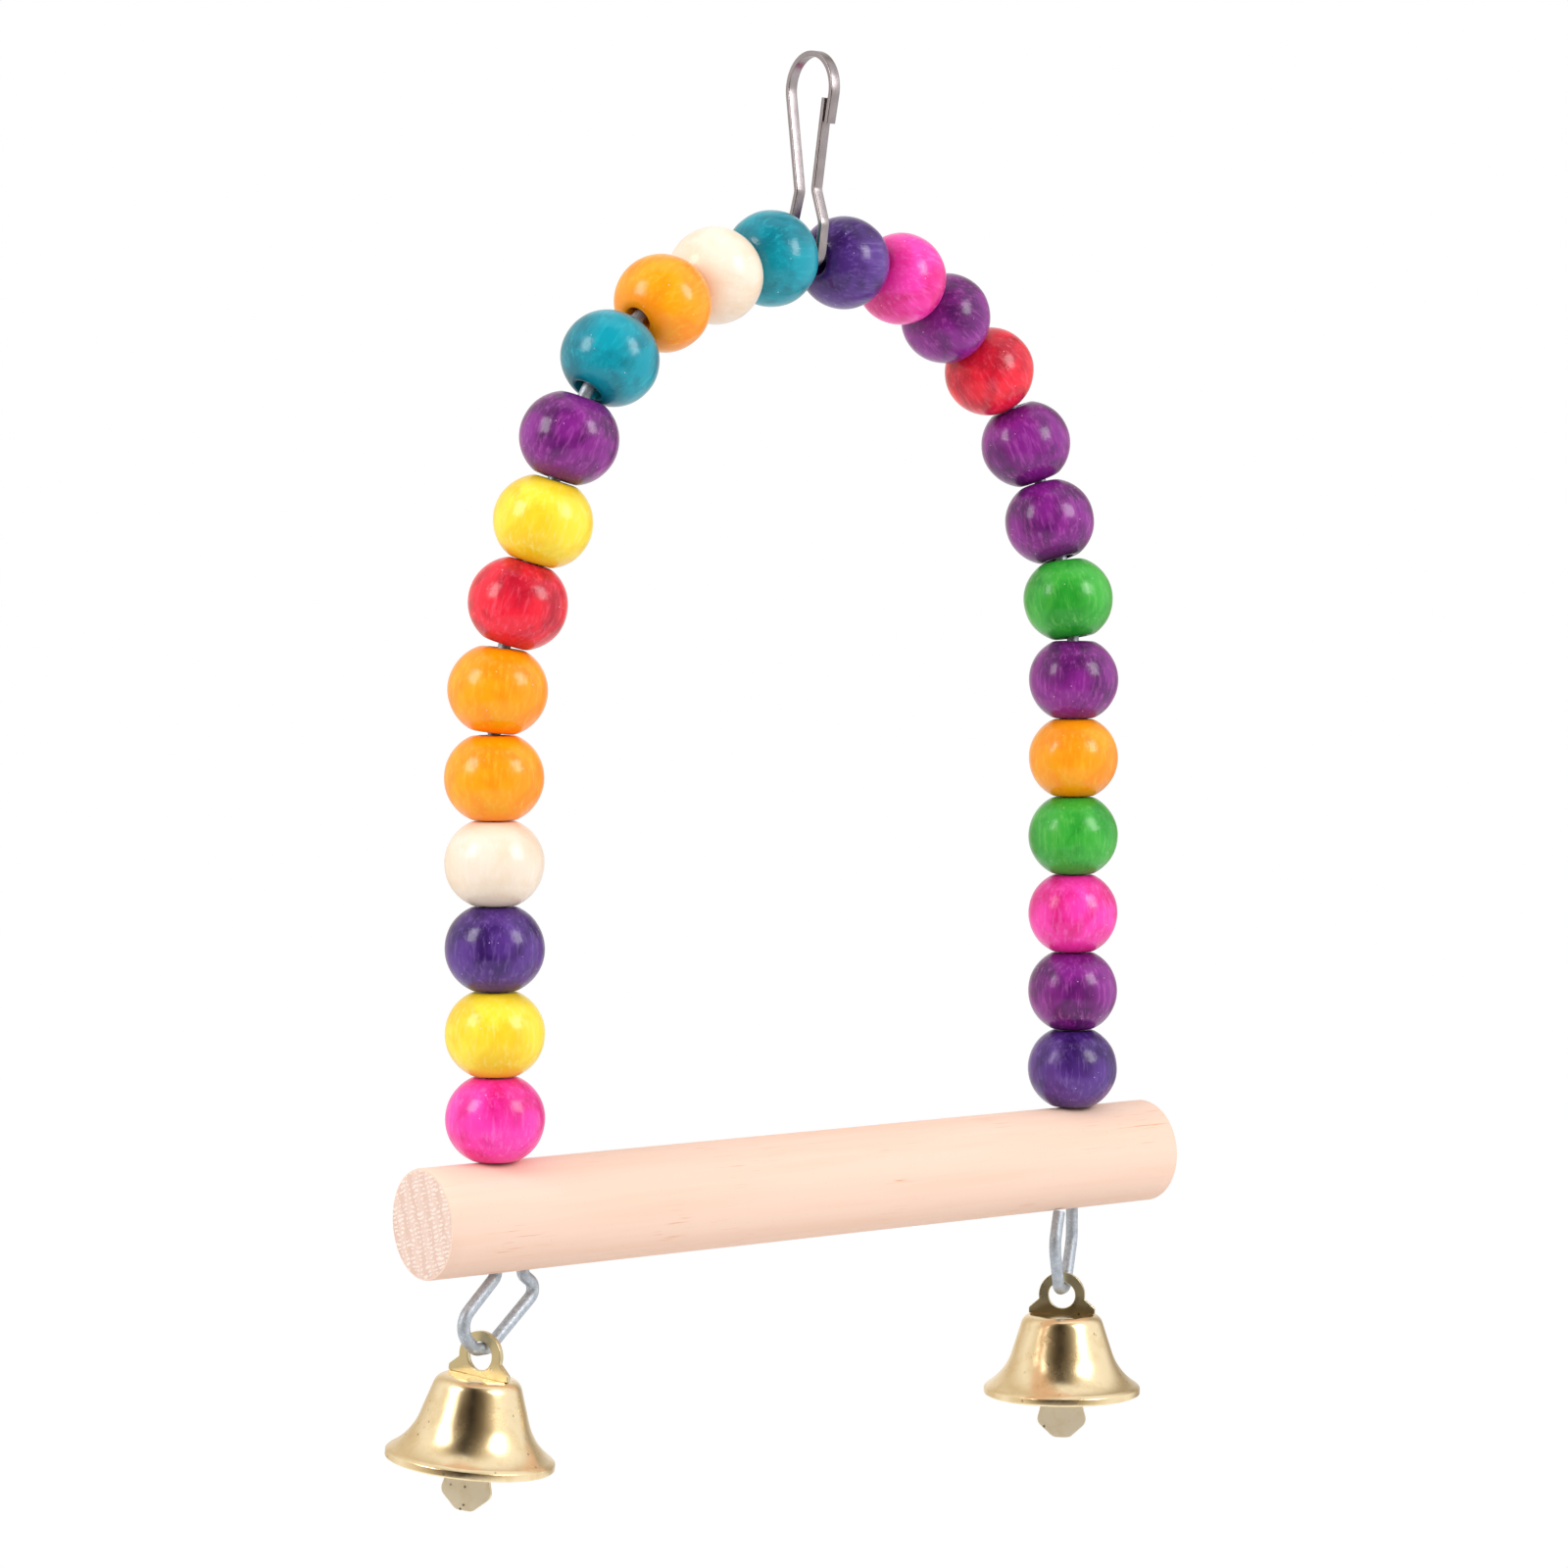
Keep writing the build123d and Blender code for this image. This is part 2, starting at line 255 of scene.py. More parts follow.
class Dye(Enum):
    """Bead dyes: pooled, full and thin colour; the pooled one also paints shade at the bead's ends."""

    PINK = ("#DC0878", "#FF3CB4", "#FF80D6")
    YELLOW = ("#FAC814", "#FFE438", "#FFF48C")
    INDIGO = ("#2A0850", "#583088", "#8E6CBA")
    CREAM = ("#F2D9BC", "#F8E6D2", "#FFF2E4")
    ORANGE = ("#FF8C00", "#FFA400", "#FFCA44")
    RED = ("#AE0828", "#F41E38", "#FF6C84")
    PURPLE = ("#480850", "#861E88", "#C860C2")
    TEAL = ("#006E80", "#0098AC", "#1CBCC8")
    GREEN = ("#128E20", "#3CB03A", "#78D064")

    @property
    def slot(self) -> str:
        """The record's material slot of this dye."""
        return f"bead_{self.name.lower()}"


@dataclass(frozen=True)
class LacqueredBeech:
    """Turned beech, dyed in a bath and tumbled in clear lacquer.

    The eye sees strong colour that is thinner along the raised grain, pores that took more dye, darker ends
    that are partly dye pooled at the bore and partly painted shade where neighbouring beads touch, and a
    lacquer film that dips into the grain and breaks highlights up.
    Grain and pores are drawn coarser than real ones, so that they show.
    """

    dye: Dye
    grain_mm: float = 0.5
    grain_run: float = 0.14
    pore_mm: float = 0.55
    mottle_mm: float = 4.6
    dust_mm: float = 1.5
    dust_colour: str = "#F6F2F0"
    ripple_mm: float = 0.9
    # Painted shade where beads touch, partly pooled dye: the heights over which each end darkens.
    shaded_and_pooled_end: Point2 = (0.33 * BEAD_HEIGHT * MM, 0.5 * BEAD_HEIGHT * MM)
    roughness: float = 0.34
    gloss: float = 0.05
    coat: float = 0.7
    coat_roughness: float = 0.19

    def build(self) -> Material:
        """Builds the finish.

        Returns:
            The material, with its grain along the bead's own Z.
        """
        material, tree, place = start_finish(f"lacquered_beech_{self.dye.name.lower()}")
        pooled, full, thin = self.dye.value
        stretch = {"Vector": place, "Scale": (1.0, 1.0, self.grain_run)}
        along = add_node(tree, "ShaderNodeMapping", stretch).outputs[0]
        grain = pattern(tree, Texture.CLOUDS, along, self.grain_mm, detail=4.0, roughness=0.62)
        mottle = pattern(tree, Texture.CLOUDS, place, self.mottle_mm, detail=3.0, distortion=0.6)
        ripple = pattern(tree, Texture.CLOUDS, place, self.ripple_mm, detail=2.0, roughness=0.55)
        pores = pattern(tree, Texture.SPOTS, along, self.pore_mm)
        dust = pattern(tree, Texture.SPOTS, place, self.dust_mm)
        height = add_node(tree, "ShaderNodeSeparateXYZ", {0: place}).outputs["Z"]
        off_middle = add_node(tree, "ShaderNodeMath", {0: height}, operation="ABSOLUTE").outputs[0]
        layers = (
            Layer(pooled, mottle, span=(0.42, 0.64), shares=(0.0, 0.85)),
            Layer(thin, grain, span=(0.5, 0.76), shares=(0.0, 0.5)),
            Layer(pooled, pores, span=(0.05, 0.2), shares=(0.3, 0.0)),
            # Painted shade where neighbouring beads touch, partly dye pooled at the bore: the pooled colour
            # darkens each end.
            Layer(pooled, off_middle, span=self.shaded_and_pooled_end, shares=(0.0, 0.6)),
            Layer(self.dust_colour, dust, span=(0.035, 0.06), shares=(0.55, 0.0)),
        )
        surface = {
            "Base Color": layered(tree, full, layers),
            "Roughness": self.roughness,
            "Specular IOR Level": self.gloss,
            "Coat Weight": self.coat,
            "Coat Roughness": self.coat_roughness,
        }
        relief = add_node(tree, "ShaderNodeMath", {0: grain, 1: ripple}, operation="ADD").outputs[0]
        end_finish(tree, surface, relief, strength=0.5, depth_mm=0.05, pressed=("Normal", "Coat Normal"))
        return material


@dataclass(frozen=True)
class PlanedPine:
    """Softwood dowel, planed round and left bare.

    The eye sees a pale peach matt surface with long faint growth lines, a few short orange resin dashes and
    fine dark flecks.
    """

    growth_mm: float = 1.6
    dash_mm: float = 0.24
    cluster_mm: float = 12.0
    fleck_mm: float = 0.9
    run: float = 0.045
    wood: str = "#F8D6C2"
    growth_colour: str = "#F5C8AC"
    dash_colour: str = "#E29C6C"
    fleck_colour: str = "#B98A70"
    roughness: float = 0.72
    gloss: float = 0.3

    def build(self) -> Material:
        """Builds the finish.

        Returns:
            The material, with its grain along X.
        """
        material, tree, place = start_finish("planed_pine")
        stretch = {"Vector": place, "Scale": (self.run, 1.0, 1.0)}
        along = add_node(tree, "ShaderNodeMapping", stretch).outputs[0]
        growth = pattern(tree, Texture.CLOUDS, along, self.growth_mm, detail=5.0)
        dashes = pattern(tree, Texture.CLOUDS, along, self.dash_mm, detail=2.0, roughness=0.4)
        clusters = pattern(tree, Texture.CLOUDS, place, self.cluster_mm, detail=1.0)
        flecks = pattern(tree, Texture.SPOTS, place, self.fleck_mm)
        layers = (
            Layer(self.growth_colour, growth, span=(0.4, 0.7), shares=(0.0, 0.45)),
            Layer(self.dash_colour, dashes, (0.62, 0.74), (0.0, 0.7), clusters, patch_span=(0.5, 0.6)),
            Layer(self.fleck_colour, flecks, span=(0.04, 0.1), shares=(0.28, 0.0)),
        )
        surface = {
            "Base Color": layered(tree, self.wood, layers),
            "Roughness": self.roughness,
            "Specular IOR Level": self.gloss,
        }
        end_finish(tree, surface, growth, strength=0.35, depth_mm=0.05)
        return material


@dataclass(frozen=True)
class SawnEndGrain:
    """Softwood sawn square across the grain.

    The eye sees a greyer pink than the side, with slanting growth bands crossed by fine pale ladders of torn
    fibre ends. The fibres are drawn coarser than real ones, so that they show.
    """

    slant: float = 17.0
    band_mm: float = 2.6
    rung_mm: float = 0.55
    rail_mm: float = 1.43
    wood: str = "#EBCDBE"
    band_colour: str = "#DDB8A8"
    fibre_colour: str = "#FFEFE2"
    roughness: float = 0.85
    gloss: float = 0.25

    def build(self) -> Material:
        """Builds the finish.

        Returns:
            The material, for faces square to X.
        """
        material, tree, place = start_finish("sawn_pine_end_grain")
        lean = {"Vector": place, "Rotation": (math.radians(self.slant), 0.0, 0.0)}
        slanted = add_node(tree, "ShaderNodeMapping", lean).outputs[0]
        bands, rungs, rails = (
            add_node(
                tree,
                "ShaderNodeTexWave",
                {"Vector": slanted, "Scale": per_metre(size) * WAVE_REPEAT, **more},
                bands_direction=way,
            ).outputs["Fac"]
            for way, size, more in (
                ("Y", self.band_mm, {"Distortion": 1.2}),
                ("Z", self.rung_mm, {"Distortion": 5.0, "Detail": 3.0, "Detail Scale": 1.6}),
                ("Y", self.rail_mm, {"Distortion": 9.0, "Detail": 2.0, "Detail Scale": 3.0}),
            )
        )
        fibres = add_node(tree, "ShaderNodeMath", {0: rungs, 1: rails}, operation="MULTIPLY").outputs[0]
        layers = (
            Layer(self.band_colour, bands, span=(0.2, 0.9), shares=(0.0, 0.5)),
            Layer(self.fibre_colour, fibres, span=(0.15, 0.75), shares=(0.0, 0.75)),
        )
        surface = {
            "Base Color": layered(tree, self.wood, layers),
            "Roughness": self.roughness,
            "Specular IOR Level": self.gloss,
        }
        end_finish(tree, surface, fibres, strength=0.6, depth_mm=0.12)
        return material


@dataclass(frozen=True)
class GalvanisedSteel:
    """Drawn steel wire with a hot zinc coat.

    The eye sees a cool grey metal, dull and uneven, with pale frosted patches where the zinc set thick.
    """

    patch_mm: float = 0.8
    frost_mm: float = 0.28
    zinc: str = "#AEB6C0"
    patch_colour: str = "#C9D1DA"
    frost_colour: str = "#E4EAF0"
    metallic: float = 0.7
    roughness: Point2 = (0.42, 0.66)

    def build(self) -> Material:
        """Builds the finish.

        Returns:
            The material.
        """
        material, tree, place = start_finish("galvanised_steel_wire")
        patches = pattern(tree, Texture.CLOUDS, place, self.patch_mm, detail=4.0, roughness=0.65)
        frost = pattern(tree, Texture.CLOUDS, place, self.frost_mm, detail=3.0, roughness=0.6)
        layers = (
            Layer(self.patch_colour, patches, span=(0.42, 0.68)),
            Layer(self.frost_colour, frost, span=(0.56, 0.7), shares=(0.0, 0.8)),
        )
        spread = (frost, 0.4, 0.7, *self.roughness)
        surface = {
            "Base Color": layered(tree, self.zinc, layers),
            "Metallic": self.metallic,
            "Roughness": add_node(tree, "ShaderNodeMapRange", dict(enumerate(spread))).outputs[0],
        }
        end_finish(tree, surface, patches, strength=0.6, depth_mm=0.06)
        return material


@dataclass(frozen=True)
class NickelPlate:
    """Steel strip, rolled and bent, under satin nickel plate.

    The eye sees a warm grey metal with soft reflections and faint rolling marks along the strip. The marks
    are drawn coarser than real ones, so that they show.
    """

    mark_mm: float = 0.18
    run: float = 0.06
    bloom_mm: float = 2.2
    nickel: str = "#8C8385"
    bloom_colour: str = "#B2A9AA"
    roughness: Point2 = (0.24, 0.4)

    def build(self) -> Material:
        """Builds the finish.

        Returns:
            The material, with its marks upright.
        """
        material, tree, place = start_finish("satin_nickel_strip")
        stretch = {"Vector": place, "Scale": (1.0, 1.0, self.run)}
        along = add_node(tree, "ShaderNodeMapping", stretch).outputs[0]
        marks = pattern(tree, Texture.CLOUDS, along, self.mark_mm, detail=3.0)
        bloom = pattern(tree, Texture.CLOUDS, place, self.bloom_mm, detail=3.0)
        spread = (marks, 0.3, 0.7, *self.roughness)
        surface = {
            "Base Color": layered(tree, self.nickel, [Layer(self.bloom_colour, bloom, span=(0.0, 1.0))]),
            "Metallic": 1.0,
            "Roughness": add_node(tree, "ShaderNodeMapRange", dict(enumerate(spread))).outputs[0],
        }
        end_finish(tree, surface, marks, strength=0.1, depth_mm=0.02)
        return material


class BrassMake(Enum):
    """How a brass piece was made: its name, its colours, its roughness and how much it is specked."""

    SPUN = ("spun_polished_brass", "#F8E2B8", "#E2C48C", (0.19, 0.31), 0.6)
    STAMPED = ("stamped_brass_plate", "#DED0A8", "#C0AE84", (0.27, 0.39), 0.9)
    TUMBLED = ("tumbled_brass_plate", "#FFF4DC", "#E8D8B4", (0.55, 0.67), 0.9)


@dataclass(frozen=True)
class Brass:
    """Yellow brass sheet.

    Spun and polished, the eye sees a mirror with soft edges; stamped, a paler plate; tumbled, a dull one with
    grey specks. All carry small dark pits and a faint tarnish.
    """

    make: BrassMake
    speck_mm: float = 1.5
    speck_colour: str = "#5A4A32"
    tarnish_mm: float = 2.4
    ripple_mm: float = 1.5

    def build(self) -> Material:
        """Builds the finish.

        Returns:
            The material.
        """
        name, bright, dull, roughness, specked = self.make.value
        material, tree, place = start_finish(name)
        tarnish = pattern(tree, Texture.CLOUDS, place, self.tarnish_mm, detail=4.0, roughness=0.6)
        ripple = pattern(tree, Texture.CLOUDS, place, self.ripple_mm, detail=1.0)
        specks = pattern(tree, Texture.SPOTS, place, self.speck_mm)
        layers = (
            Layer(dull, tarnish, span=(0.48, 0.75), shares=(0.0, 0.6)),
            Layer(self.speck_colour, specks, (0.07, 0.15), (specked, 0.0), tarnish, patch_span=(0.46, 0.54)),
        )
        spread = (tarnish, 0.35, 0.75, *roughness)
        surface = {
            "Base Color": layered(tree, bright, layers),
            "Metallic": 1.0,
            "Roughness": add_node(tree, "ShaderNodeMapRange", dict(enumerate(spread))).outputs[0],
        }
        end_finish(tree, surface, ripple, strength=0.12, depth_mm=0.05)
        return material


def place_mesh(name: str, mesh: Mesh, materials: Sequence[Material], sharp_deg: float) -> Piece:
    """Dresses and smooths a mesh and puts it in the scene.

    Args:
        name: the piece's name.
        mesh: its mesh.
        materials: its materials; faces start on the first.
        sharp_deg: edges that turn more than this stay crisp.

    Returns:
        The piece.
    """
    mesh.materials.clear()
    for material in materials:
        mesh.materials.append(material)
    mesh.shade_smooth()
    mesh.set_sharp_from_angle(angle=math.radians(sharp_deg))
    made = bpy.data.objects.new(name, mesh)
    bpy.context.scene.collection.objects.link(made)
    return made


def make_piece(
    name: str,
    points: Sequence[Sequence[float]],
    faces: Sequence[Sequence[int]],
    materials: Sequence[Material],
    sharp_deg: float = 35.0,
) -> Piece:
    """Makes a smooth-shaded piece from its points and faces.

    Args:
        name: the piece's name.
        points: corners, in metres.
        faces: corner numbers of each face.
        materials: its materials; faces start on the first.
        sharp_deg: edges that turn more than this stay crisp.

    Returns:
        The piece.
    """
    mesh = bpy.data.meshes.new(name)
    mesh.from_pydata([tuple(p) for p in points], [], [tuple(f) for f in faces])
    mesh.validate()
    return place_mesh(name, mesh, materials, sharp_deg)


def turned(profile: Sequence[Point2], segments: int, closed: bool) -> tuple[list[Vector], list[list[int]]]:
    """Turns a profile about Z.

    Args:
        profile: radius and height of each point, in metres, with the outside on its left.
        segments: steps round the axis.
        closed: whether the profile's end joins its start.

    Returns:
        Points and faces; a point on the axis is shared by its whole ring.
    """
    points: list[Vector] = []
    rings: list[list[int]] = []
    on_axis = 1e-9
    for radius, height in profile:
        if radius < on_axis:
            points.append(Vector((0.0, 0.0, height)))
            rings.append([len(points) - 1] * segments)
            continue
        first = len(points)
        for step in range(segments):
            angle = math.tau * step / segments
            points.append(Vector((radius * math.cos(angle), radius * math.sin(angle), height)))
        rings.append(list(range(first, first + segments)))
    pairs = list(zip(rings, rings[1:]))
    if closed:
        pairs.append((rings[-1], rings[0]))
    faces = []
    for lower, upper in pairs:
        for step in range(segments):
            after = (step + 1) % segments
            face = list(dict.fromkeys((lower[step], lower[after], upper[after], upper[step])))
            if len(face) > 2:
                faces.append(face)
    return points, faces


def arc(centre: Point2, radius: float, start_deg: float, end_deg: float, steps: int) -> list[Point2]:
    """Points along an arc.

    Args:
        centre: its centre.
        radius: its radius.
        start_deg: its first bearing.
        end_deg: its last bearing.
        steps: spaces between its points.

    Returns:
        The points, both ends included.
    """
    bearings = [math.radians(start_deg + (end_deg - start_deg) * i / steps) for i in range(steps + 1)]
    return [(centre[0] + radius * math.cos(b), centre[1] + radius * math.sin(b)) for b in bearings]


def rounded(corners: Sequence[Point2], bends: Sequence[float], steps: int = 10) -> list[Point2]:
    """Points along a line of straight runs with rounded bends.

    Args:
        corners: its ends and corners.
        bends: bend radius at each inner corner.
        steps: spaces between the points of a bend.

    Returns:
        The points, from the first corner to the last.
    """
    line = [corners[0]]
    for before, corner, after, bend in zip(corners, corners[1:], corners[2:], bends):
        here = Vector(corner)
        back, ahead = (Vector(before) - here).normalized(), (Vector(after) - here).normalized()
        half = back.angle(ahead) / 2
        middle = here + (back + ahead).normalized() * (bend / math.sin(half))
        first, last = (here + way * (bend / math.tan(half)) - middle for way in (back, ahead))
        start = math.atan2(first.y, first.x)
        turn = math.remainder(math.atan2(last.y, last.x) - start, math.tau)
        line += arc(tuple(middle), bend, math.degrees(start), math.degrees(start + turn), steps)
    line.append(corners[-1])
    return line


def stepped(line: Sequence[Point2], step: float) -> list[Point2]:
    """Splits the straight runs of a line into short even steps.

    Args:
        line: its points.
        step: about how long a step is.

    Returns:
        The points, both ends included.
    """
    points = [line[0]]
    for (x, y), (end_x, end_y) in zip(line, line[1:]):
        pieces = max(1, round(math.dist((x, y), (end_x, end_y)) / step))
        points += [(x + (end_x - x) * i / pieces, y + (end_y - y) * i / pieces) for i in range(1, pieces + 1)]
    return points


def scaled(points: Sequence[Point2]) -> list[Point2]:
    """Turns points in millimetres to metres."""
    return [(a * MM, b * MM) for a, b in points]


def mirrored(points: Sequence[Point2]) -> list[Point2]:
    """The other half of a plate's outline, back from the end of the first."""
    return [(-across, up) for across, up in reversed(points)]


def flat_piece(name: str, outlines: Sequence[Sequence[Point2]], thickness_mm: float, edge_mm: float) -> Mesh:
    """Stamps a flat plate with softened edges from its outline and holes.

    Args:
        name: the mesh's name.
        outlines: closed lines in millimetres, the outer one and its holes.
        thickness_mm: the plate's thickness.
        edge_mm: how far its edges are broken.

    Returns:
        A mesh about the outline's own plane.
    """
    curve = bpy.data.curves.new(name, "CURVE")
    curve.dimensions = "2D"
    curve.fill_mode = "BOTH"
    curve.extrude = (thickness_mm / 2 - edge_mm) * MM
    curve.bevel_depth = edge_mm * MM
    curve.bevel_resolution = 2
    curve.offset = -edge_mm * MM
    for outline in outlines:
        spline = curve.splines.new("POLY")
        spline.points.add(len(outline) - 1)
        for point, (across, up) in zip(spline.points, outline):
            point.co = (across * MM, up * MM, 0.0, 1.0)
        spline.use_cyclic_u = True
    holder = bpy.data.objects.new(name, curve)
    bpy.context.scene.collection.objects.link(holder)
    mesh = evaluated_mesh(holder)
    bpy.data.objects.remove(holder)
    bpy.data.curves.remove(curve)
    return mesh


def evaluated_mesh(made: Piece) -> Mesh:
    """A piece's mesh as its curve or its modifiers give it.

    Args:
        made: the piece.

    Returns:
        A new mesh.
    """
    bpy.context.view_layer.update()
    return bpy.data.meshes.new_from_object(made.evaluated_get(bpy.context.evaluated_depsgraph_get()))


def joint(name: str) -> tuple[Vector, Vector]:
    """Place and axis of a joint of the frame, in metres.

    Args:
        name: the joint's name.

    Returns:
        A point on the axis, and its direction.
    """
    found = next(j for j in frame["joints"] if j["name"] == name)
    return Vector(found["pos_m"]), Vector(found["axis"]).normalized()


def uneven(
    points: Sequence[Vector], seed: float, size_mm: float, depth_mm: float, still_mm: float
) -> list[Vector]:
    """Moves points of a turned piece in and out a little, as hand finishing leaves them.

    Args:
        points: points about the piece's own middle, in metres.
        seed: a number that makes each piece its own.
        size_mm: width of the lumps.
        depth_mm: how far a point may move.
        still_mm: points nearer the turning axis than this stay, so that bores and ends still fit.

    Returns:
        The moved points.
    """
    moved = []
    for point in points:
        loose = min(max(point.xy.length / (still_mm * MM) - 1.0, 0.0), 1.0)
        lump = noise.noise(point / (size_mm * MM) + LUMP_STRIDE * seed) * loose
        moved.append(point * (1.0 + lump * depth_mm * MM / max(point.length, MM)))
    return moved


@dataclass
class Bead:
    """One turned bead, with its own frame on the wire and its bore along its Z."""

    node: str
    dye: Dye
    number: int
    diameter: float = 12.0
    height: float = BEAD_HEIGHT
    flat: float = 5.3
    end_round: float = 1.6
    bore: float = 3.7
    rim: float = 0.12
    rim_bow: Point2 = (0.4, 0.3)
    lump: float = 3.0
    lump_depth: float = 0.05
    grain_turn: float = 137.51
    bore_steps: int = 8
    segments: int = 88

    def profile(self) -> list[Point2]:
        """Outline of half the bead's section, from the bore's foot outwards.

        Returns:
            Radius and height in metres.
        """
        radius, half, flat = self.diameter / 2, self.height / 2, self.flat / 2
        belly = ((radius - flat) ** 2 + half**2) / (2 * (radius - flat))
        middle = radius - belly
        corner = middle + math.sqrt((belly - self.end_round) ** 2 - (half - self.end_round) ** 2)
        lean = math.degrees(math.atan2(half - self.end_round, corner - middle))
        hole = self.bore / 2
        lower = [
            (hole, -half + self.rim),
            (hole + self.rim_bow[0] * self.rim, -half + self.rim_bow[1] * self.rim),
            (hole + self.rim, -half),
            *arc((corner, -half + self.end_round), self.end_round, -90.0, -lean, steps=9),
        ]
        side = arc((middle, 0.0), belly, -lean, lean, steps=44)[1:-1]
        upper = [(across, -up) for across, up in reversed(lower)]
        depth = self.height - 2 * self.rim
        wall = [(hole, half - self.rim - depth * i / self.bore_steps) for i in range(1, self.bore_steps)]
        return scaled([*lower, *side, *upper, *wall])

    def build(self, finish: Material) -> Piece:
        """Makes the bead where its joint is.

        Args:
            finish: the bead's material.

        Returns:
            The bead.
        """
        centre, bore = joint(f"{self.node}_spin")
        points, faces = turned(self.profile(), self.segments, closed=True)
        points = uneven(points, self.number, self.lump, self.lump_depth, self.flat / 2)
        made = make_piece(f"{self.node}_turned", points, faces, [finish], sharp_deg=50.0)
        lean = bore.to_track_quat("Z", "Y").to_matrix().to_4x4()
        spin = Matrix.Rotation(math.radians(self.grain_turn) * self.number, 4, "Z")
        made.matrix_world = Matrix.Translation(centre) @ lean @ spin
        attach(made, self.node)
        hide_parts(self.node)
        return made


@dataclass
class BeadString:
    """All the beads, from the perch up each leg to the clip."""

    diameters: Point2 = (12.3, 12.0)
    left: str = "pink yellow indigo cream orange orange red yellow purple teal orange cream teal"
    right: str = "indigo purple pink green orange purple green purple purple red purple pink indigo"

    def build(self) -> list[Piece]:
        """Makes every bead.

        Returns:
            The beads.
        """
        finishes = {dye: LacqueredBeech(dye).build() for dye in Dye}
        made = []
        for side, row, diameter in zip(("left", "right"), (self.left, self.right), self.diameters):
            for number, name in enumerate(row.upper().split(), start=1):
                dye = Dye[name]
                bead = Bead(f"bead_{side}_{number:02d}", dye, len(made) + 1, diameter)
                made.append(bead.build(finishes[dye]))
        return made


@dataclass
class Perch:
    """The dowel, with broken edges, sawn ends and the wire's two holes."""

    edge: float = 0.25
    edge_bow: float = 0.3
    hole: float = 1.9
    hole_segments: int = 32
    segments: int = 128
    stations: int = 60
    end_rings: int = 5
    end_facing: float = 0.95
    lump: float = 9.0
    lump_depth: float = 0.04
    lump_run: float = 0.2

    def build(self) -> Piece:
        """Makes the dowel in the space of its solid.

        Returns:
            The dowel.
        """
        low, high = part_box("perch")
        radius, length, edge = (high.z - low.z) / 2, high.x - low.x, self.edge * MM
        side = [(radius, edge + (length - 2 * edge) * i / self.stations) for i in range(self.stations + 1)]
        end = [(radius * i / self.end_rings, 0.0) for i in range(self.end_rings)]
        start = [*end, (radius - edge, 0.0), (radius - self.edge_bow * edge, self.edge_bow * edge)]
        profile = [*start, *side, *((across, length - up) for across, up in reversed(start))]
        points, faces = turned(profile, self.segments, closed=False)
        middle = Matrix.Translation((low.x, (low.y + high.y) / 2, (low.z + high.z) / 2))
        lie = middle @ Matrix.Rotation(math.radians(90.0), 4, "Y")
        shaped = []
        for point in points:
            lump = noise.noise(Vector((point.x, point.y, point.z * self.lump_run)) / (self.lump * MM))
            planed = point.xy * (1.0 - abs(lump) * self.lump_depth * MM / radius)
            shaped.append(lie @ Vector((*planed, point.z)))
        made = make_piece("perch_dowel", shaped, faces, [PlanedPine().build(), SawnEndGrain().build()])
        self.drill(made)
        made.data.shade_smooth()
        made.data.set_sharp_from_angle(angle=math.radians(30.0))
        for face in made.data.polygons:
            face.material_index = int(abs(face.normal.x) > self.end_facing)
        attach(made, "swing")
        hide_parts("perch")
        return made

    def drill(self, dowel: Piece) -> None:
        """Drills the wire's holes up through the dowel.

        Args:
            dowel: the dowel.
        """
        low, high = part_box("perch")
        reach, hole = 2 * (high.z - low.z), self.hole / 2 * MM
        rod = [(0.0, -reach), (hole, -reach), (hole, reach), (0.0, reach)]
        points, faces = turned(rod, self.hole_segments, closed=False)
        for lowest_bead in ("bead_left_01_spin", "bead_right_01_spin"):
            centre, _ = joint(lowest_bead)
            foot = Vector((centre.x, centre.y, low.z))
            drill = make_piece("wire_drill", [point + foot for point in points], faces, [])
            cut = dowel.modifiers.new("wire_hole", "BOOLEAN")
            cut.operation = "DIFFERENCE"
            cut.solver = "EXACT"
            cut.object = drill
            drilled = evaluated_mesh(dowel)
            dowel.modifiers.remove(cut)
            dowel.data = drilled
            bpy.data.objects.remove(drill)


